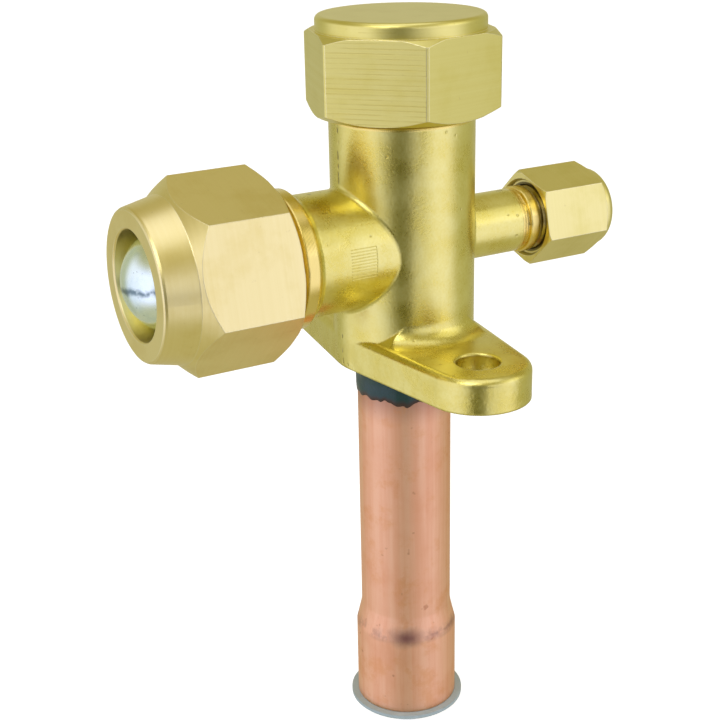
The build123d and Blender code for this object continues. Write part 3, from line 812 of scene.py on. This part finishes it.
@dataclass
class PaintedJoint:
    """The sealing paint over the brazed joint, with a ragged lower edge."""

    bench: Bench
    finishes: FinishBook
    segments: int = 160
    profile: tuple[tuple[float, float], ...] = (
        (9.62 * MM, -0.04 * MM), (9.55 * MM, -0.5 * MM), (8.75 * MM, -1.5 * MM), (8.32 * MM, -2.3 * MM),
        (8.22 * MM, -3.6 * MM), (8.17 * MM, -4.8 * MM), (8.12 * MM, -5.5 * MM), (8.06 * MM, -5.9 * MM),
        (7.955 * MM, -6.1 * MM))
    raggedness: float = 1.0 * MM
    drops_around: float = 3.1            # how closely the drops of the lower edge follow each other
    lump_size: float = 1.6 * MM
    lump_height: float = 0.10 * MM

    def build(self) -> None:
        """Draw a circle down the profile, ring by ring, then make its lower edge ragged."""
        Bench.clear()
        top_radius, top = self.profile[0]
        bpy.ops.mesh.primitive_circle_add(vertices=self.segments, radius=top_radius,
                                          location=(0, 0, top))
        band = bpy.context.object
        Bench.settle(band)
        bpy.ops.object.mode_set(mode="EDIT")
        bpy.ops.mesh.select_all(action="SELECT")
        for (old_radius, old), (radius, height) in zip(self.profile, self.profile[1:]):
            bpy.ops.mesh.extrude_edges_move(TRANSFORM_OT_translate={"value": (0, 0, height - old)})
            ratio = radius / old_radius
            bpy.ops.transform.resize(value=(ratio, ratio, 1), center_override=(0, 0, 0))
        bpy.ops.object.mode_set(mode="OBJECT")
        edge = band.data.attributes.new("brush_edge", "FLOAT", "POINT")
        for vertex, value in zip(band.data.vertices, edge.data):
            value.value = min(1.0, vertex.co.z / self.profile[-1][1])
            vertex.co = self._ragged(vertex.co)
        Bench.only(band)
        bpy.ops.object.mode_set(mode="EDIT")
        bpy.ops.mesh.select_all(action="SELECT")
        bpy.ops.mesh.normals_make_consistent(inside=False)
        bpy.ops.object.mode_set(mode="OBJECT")
        bpy.ops.object.shade_smooth()
        self.finishes.dress(band, "sealing_paint")
        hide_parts("sealing_paint")
        self.bench.finish(band, "paint_band", "valve", "green_paint")

    def _ragged(self, point: Vector) -> Vector:
        """Move a point of the smooth band to its brushed place.

        Args:
            point: A point of the smooth band.

        Returns:
            The moved point.
        """
        share = min(1.0, max(0.0, point.z / self.profile[-1][1]))
        angle = math.atan2(point.y, point.x)
        around = Vector((math.cos(angle), math.sin(angle), 0.0))
        drop = noise.fractal(around * self.drops_around + Vector((4.0, 0, 0)), 1.0, 2.0, 3) * self.raggedness
        swell = noise.noise(point / self.lump_size) * self.lump_height * min(1.0, 4 * share * (1 - share))
        radius = point.to_2d().length + swell
        return Vector((around.x * radius, around.y * radius, point.z + drop * share * share))


# ---------------------------------------------------------------------------------------
# the valve's CAD pieces
# ---------------------------------------------------------------------------------------


@dataclass
class ValvePieces:
    """Gives every CAD node its finish."""

    finishes: FinishBook
    finish_of: dict[str, str] = field(default_factory=lambda: {
        "valve_body": "forged_body",
        "bonnet_cap": "bonnet_brass",
        "bonnet_cap_gasket": "pale_seal",
        "valve_stem": "stem_brass",
        "stem_o_ring": "black_rubber",
        "retaining_ring": "spring_steel",
        "flare_nut": "nut_brass",
        "blanking_cap": "zinc_plate",
        "service_cap": "service_brass",
        "service_cap_gasket": "black_rubber",
        "core_plug": "core_brass",
        "core_barrel": "core_brass",
        "core_gasket": "pale_seal",
        "core_pin": "spring_steel",
        "core_poppet": "core_brass",
        "core_poppet_seal": "black_rubber",
        "core_spring": "spring_steel",
        "copper_tube": "drawn_copper",
        "braze_fillet": "braze_alloy",
        "sealing_paint": "sealing_paint",
        "tube_plug": "grey_plastic",
    })

    def dress(self, nodes: dict[str, bpy.types.Object]) -> None:
        """Give each CAD node its material.

        Args:
            nodes: The CAD nodes by name.
        """
        for node, finish in self.finish_of.items():
            self.finishes.dress(nodes[node], finish)
            LOG.info("node %s wears %s", node, finish)


# ---------------------------------------------------------------------------------------
# studio
# ---------------------------------------------------------------------------------------


@dataclass
class Studio:
    """The pale floor, the soft surroundings, the lamps and the camera."""

    floor_height: float
    azimuth: float = 60.79               # degrees; 0 looks along +Y
    elevation: float = 20.90
    roll: float = -1.17
    distance: float = 238.33 * MM
    aim_height: float = -1.178 * MM
    aim_aside: float = -7.440 * MM
    focal_length: float = 70.27
    floor_size: float = 6.0
    floor_grey: Colour = (0.80, 0.80, 0.80)
    floor_glow: float = 0.62
    key_place: Triple = (0.30, -0.45, 0.55)
    fill_place: Triple = (0.35, 0.40, 0.35)
    lamp_size: float = 0.40
    lamp_tint: Colour = (0.95, 0.97, 1.2)
    key_power: float = 1.3
    fill_power: float = 0.35
    # walls: degrees round from the camera's side, and the light there
    walls: tuple[tuple[float, float], ...] = (
        (-180, 0.62), (-125, 0.48), (-100, 0.95), (-45, 1.10), (-28, 0.92), (-14, 0.14),
        (6, 0.11), (20, 0.98), (70, 1.12), (98, 0.50), (135, 0.48), (180, 0.62))
    warmth: float = 0.12                 # share of blue left in the darkest wall
    coolness: float = 1.18               # share of blue that comes with the light
    lens_shade: Colour = (0.12, 0.12, 0.12)
    upper_shade: Colour = (0.44, 0.40, 0.20)
    ceiling_light: Colour = (1.15, 1.15, 1.45)
    lower_shade: Colour = (0.52, 0.50, 0.36)

    def build(self) -> None:
        """Build the whole studio."""
        self._floor()
        self._world()
        self._camera()
        self._lamp("key", self.key_place, self.key_power)
        self._lamp("fill", self.fill_place, self.fill_power)
        bpy.context.scene.view_settings.view_transform = "Standard"

    def _axes(self) -> tuple[Vector, Vector, Vector, Vector]:
        """Work out the camera's place and its right, up and back directions."""
        turn = math.radians(self.azimuth)
        lift = math.radians(self.elevation)
        back = Vector((math.sin(turn) * math.cos(lift), -math.cos(turn) * math.cos(lift), math.sin(lift)))
        level = Vector((0, 0, 1)).cross(back).normalized()
        rise = back.cross(level)
        aim = Vector((0, 0, self.aim_height)) + self.aim_aside * level
        tilt = math.radians(self.roll)
        right = math.cos(tilt) * level + math.sin(tilt) * rise
        up = -math.sin(tilt) * level + math.cos(tilt) * rise
        return aim + self.distance * back, right, up, back

    def _camera(self) -> None:
        """Add the camera and make it the scene's."""
        place, right, up, back = self._axes()
        lens = bpy.data.cameras.new("camera")
        lens.lens = self.focal_length
        lens.sensor_width = 36.0
        lens.clip_start = 0.005
        camera = bpy.data.objects.new("camera", lens)
        bpy.context.scene.collection.objects.link(camera)
        turn = Matrix((right, up, back)).transposed().to_4x4()
        camera.matrix_world = Matrix.Translation(place) @ turn
        bpy.context.scene.camera = camera

    def _floor(self) -> None:
        """Add the floor: white to the eye, with the object's soft shadow on it."""
        Bench.clear()
        bpy.ops.mesh.primitive_plane_add(size=self.floor_size, location=(0, 0, self.floor_height))
        floor = bpy.context.object
        floor.name = "studio_floor"
        material = bpy.data.materials.new("studio_floor")
        material.use_nodes = True
        nodes = Nodes(material.node_tree)
        shader = material.node_tree.nodes["Principled BSDF"]
        shader.inputs["Base Color"].default_value = (*self.floor_grey, 1.0)
        shader.inputs["Roughness"].default_value = 0.9
        shader.inputs["Specular IOR Level"].default_value = 0.0
        shader.inputs["Emission Color"].default_value = (1.0, 1.0, 1.0, 1.0)
        seen = nodes.add("ShaderNodeLightPath").outputs["Is Camera Ray"]
        nodes.join(nodes.math("MULTIPLY", seen, self.floor_glow), shader.inputs["Emission Strength"])
        underside = nodes.add("ShaderNodeMixShader")
        nodes.join(nodes.add("ShaderNodeNewGeometry").outputs["Backfacing"], underside.inputs[0])
        nodes.join(shader.outputs[0], underside.inputs[1])
        nodes.join(nodes.add("ShaderNodeBsdfTransparent").outputs[0], underside.inputs[2])
        nodes.join(underside.outputs[0], material.node_tree.nodes["Material Output"].inputs["Surface"])
        floor.data.materials.append(material)
        floor.visible_glossy = False

    def _world(self) -> None:
        """Surround the valve with white walls that have soft darker gaps between them."""
        world = bpy.data.worlds.new("studio")
        world.use_nodes = True
        bpy.context.scene.world = world
        nodes = Nodes(world.node_tree)
        background = world.node_tree.nodes["Background"]
        direction = nodes.add("ShaderNodeTexCoord").outputs["Generated"]
        turned = nodes.add("ShaderNodeVectorRotate", rotation_type="Z_AXIS")
        nodes.join(direction, turned.inputs["Vector"])
        turned.inputs["Angle"].default_value = math.radians(90.0 - self.azimuth)
        ahead, aside, height = nodes.components(turned.outputs[0])
        angle = nodes.math("ARCTAN2", aside, ahead)
        share = nodes.math("ADD", nodes.math("DIVIDE", angle, 2 * math.pi), 0.5)
        walls = nodes.add("ShaderNodeValToRGB")
        nodes.join(share, walls.inputs[0])
        ramp = walls.color_ramp
        ramp.interpolation = "EASE"
        while len(ramp.elements) < len(self.walls):
            ramp.elements.new(0.5)
        for element, (degrees, light) in zip(ramp.elements, self.walls):
            element.position = (degrees + 180) / 360
            element.color = (light, light, light * (self.warmth + self.coolness * light), 1.0)
        behind_lens = nodes.math("MULTIPLY", nodes.step(ahead, 0.70, 0.90), nodes.step(
            nodes.math("ABSOLUTE", nodes.math("ADD", height, 0.14)), 0.12, 0.04))
        level = nodes.mix(behind_lens, walls.outputs[0], self.lens_shade)
        level = nodes.mix(nodes.step(height, 0.25, 0.62), level, self.upper_shade)
        level = nodes.mix(nodes.step(height, 0.84, 0.95), level, self.ceiling_light)
        level = nodes.mix(nodes.step(height, -0.42, -0.72), level, self.lower_shade)
        seen = nodes.add("ShaderNodeLightPath").outputs["Is Camera Ray"]
        nodes.join(nodes.mix(seen, level, (1.0, 1.0, 1.0)), background.inputs["Color"])
        background.inputs["Strength"].default_value = 1.0

    def _lamp(self, name: str, place: Triple, power: float) -> None:
        """Add a square soft lamp that points at the valve.

        Args:
            name: The lamp's name.
            place: Where it stands.
            power: Its power in watts.
        """
        light = bpy.data.lights.new(name, "AREA")
        light.size = self.lamp_size
        light.energy = power
        light.color = self.lamp_tint
        lamp = bpy.data.objects.new(name, light)
        bpy.context.scene.collection.objects.link(lamp)
        aim = Vector(place).to_track_quat("Z", "Y").to_matrix().to_4x4()
        lamp.matrix_world = Matrix.Translation(place) @ aim


def main() -> None:
    """Load the frame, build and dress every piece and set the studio."""
    logging.basicConfig(level=logging.INFO, format="%(name)s: %(message)s")
    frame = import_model()
    finishes = FinishBook(Workshop())
    finishes.build()
    bench = Bench()
    ValvePieces(finishes).dress(frame["nodes"])
    BarrelPad(bench, finishes).build()
    PaintedJoint(bench, finishes).build()
    plug_low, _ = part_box("tube_plug")
    Studio(floor_height=plug_low[2] - FLOOR_GAP).build()


if __name__ == "__main__":
    main()
